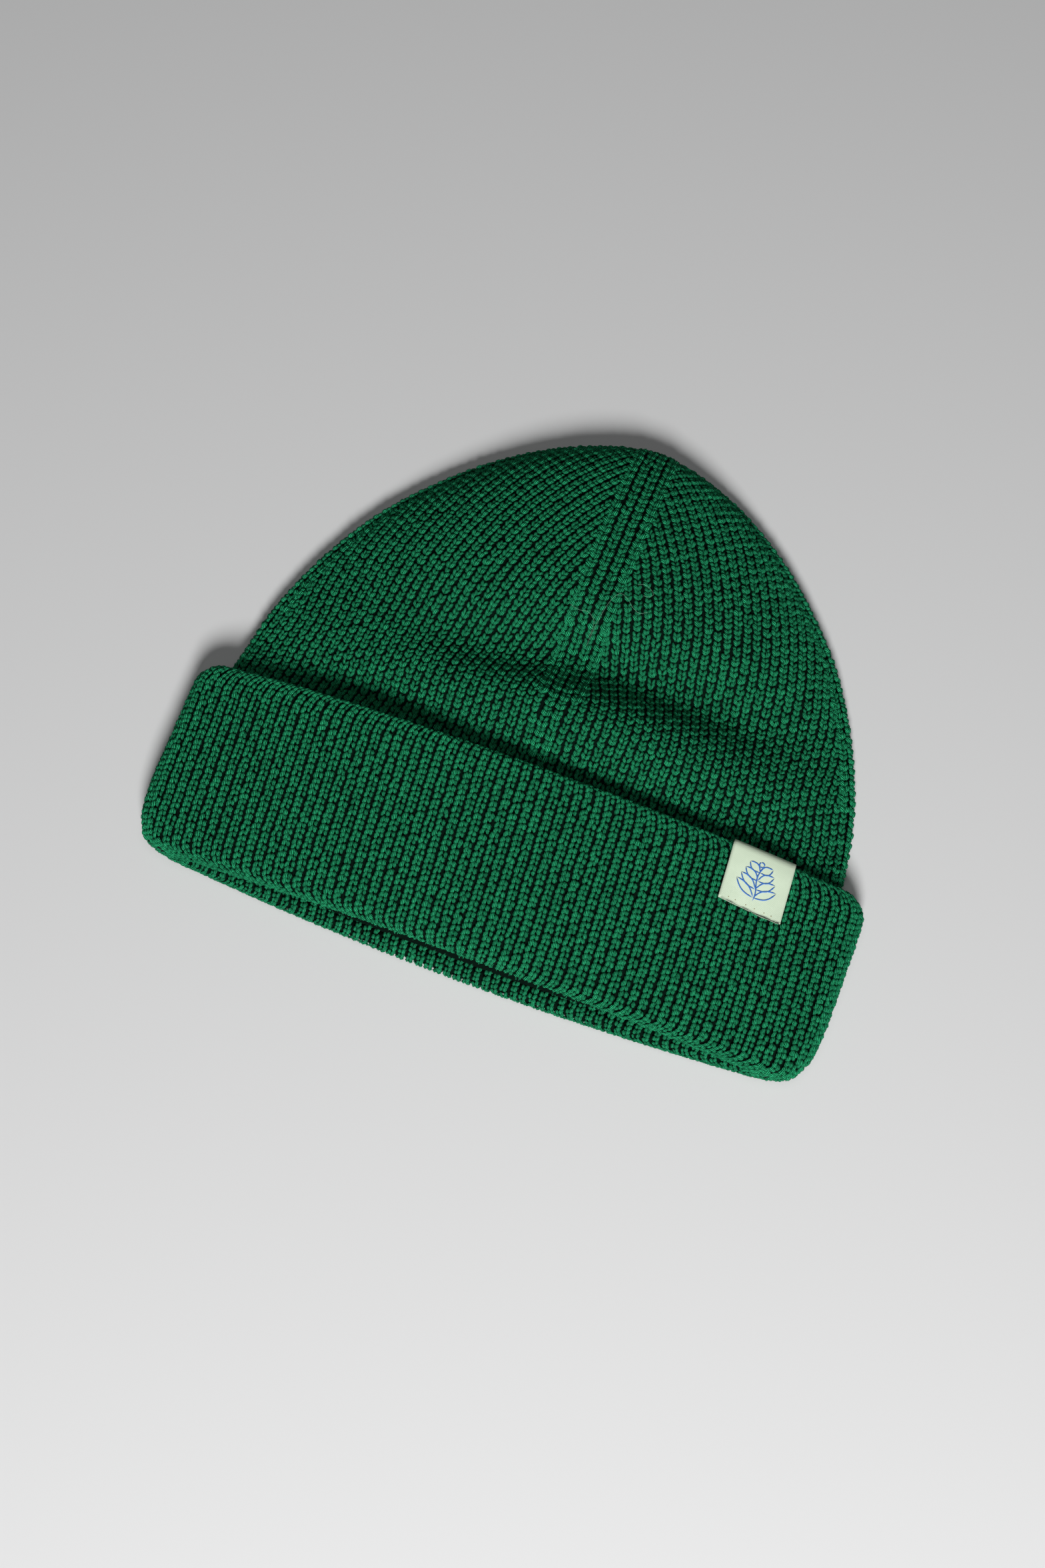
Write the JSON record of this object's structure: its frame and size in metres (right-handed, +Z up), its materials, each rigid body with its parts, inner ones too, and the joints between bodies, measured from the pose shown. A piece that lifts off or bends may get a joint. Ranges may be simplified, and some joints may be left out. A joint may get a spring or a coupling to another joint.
{
  "type": "watch cap",
  "caption": "Rib-knit watch cap lying flat, with a dart-shaped domed crown, a turned-up cuff and a small folded label.",
  "frame": {"origin": "on the surface that the cap lies on, under the middle of its outline", "axes": "+Z up, out of the cap's front face; +Y from the mouth towards the tip of the crown; +X towards the label's side"},
  "size_m": [0.2206, 0.186, 0.0273],
  "materials": {
    "crown_knit": "chunky one-by-one rib knit in thick plied green yarn, matt, with near-black grooves",
    "cuff_knit": "the same rib knit seen from its other side on the turned-up cuff, matt",
    "label_tape": "plain cream woven tape, slightly frayed along its lower edge"
  },
  "bodies": {
    "root": {"crown": "crown_knit", "cuff": "cuff_knit", "label": "label_tape"}
  },
  "joints": []
}
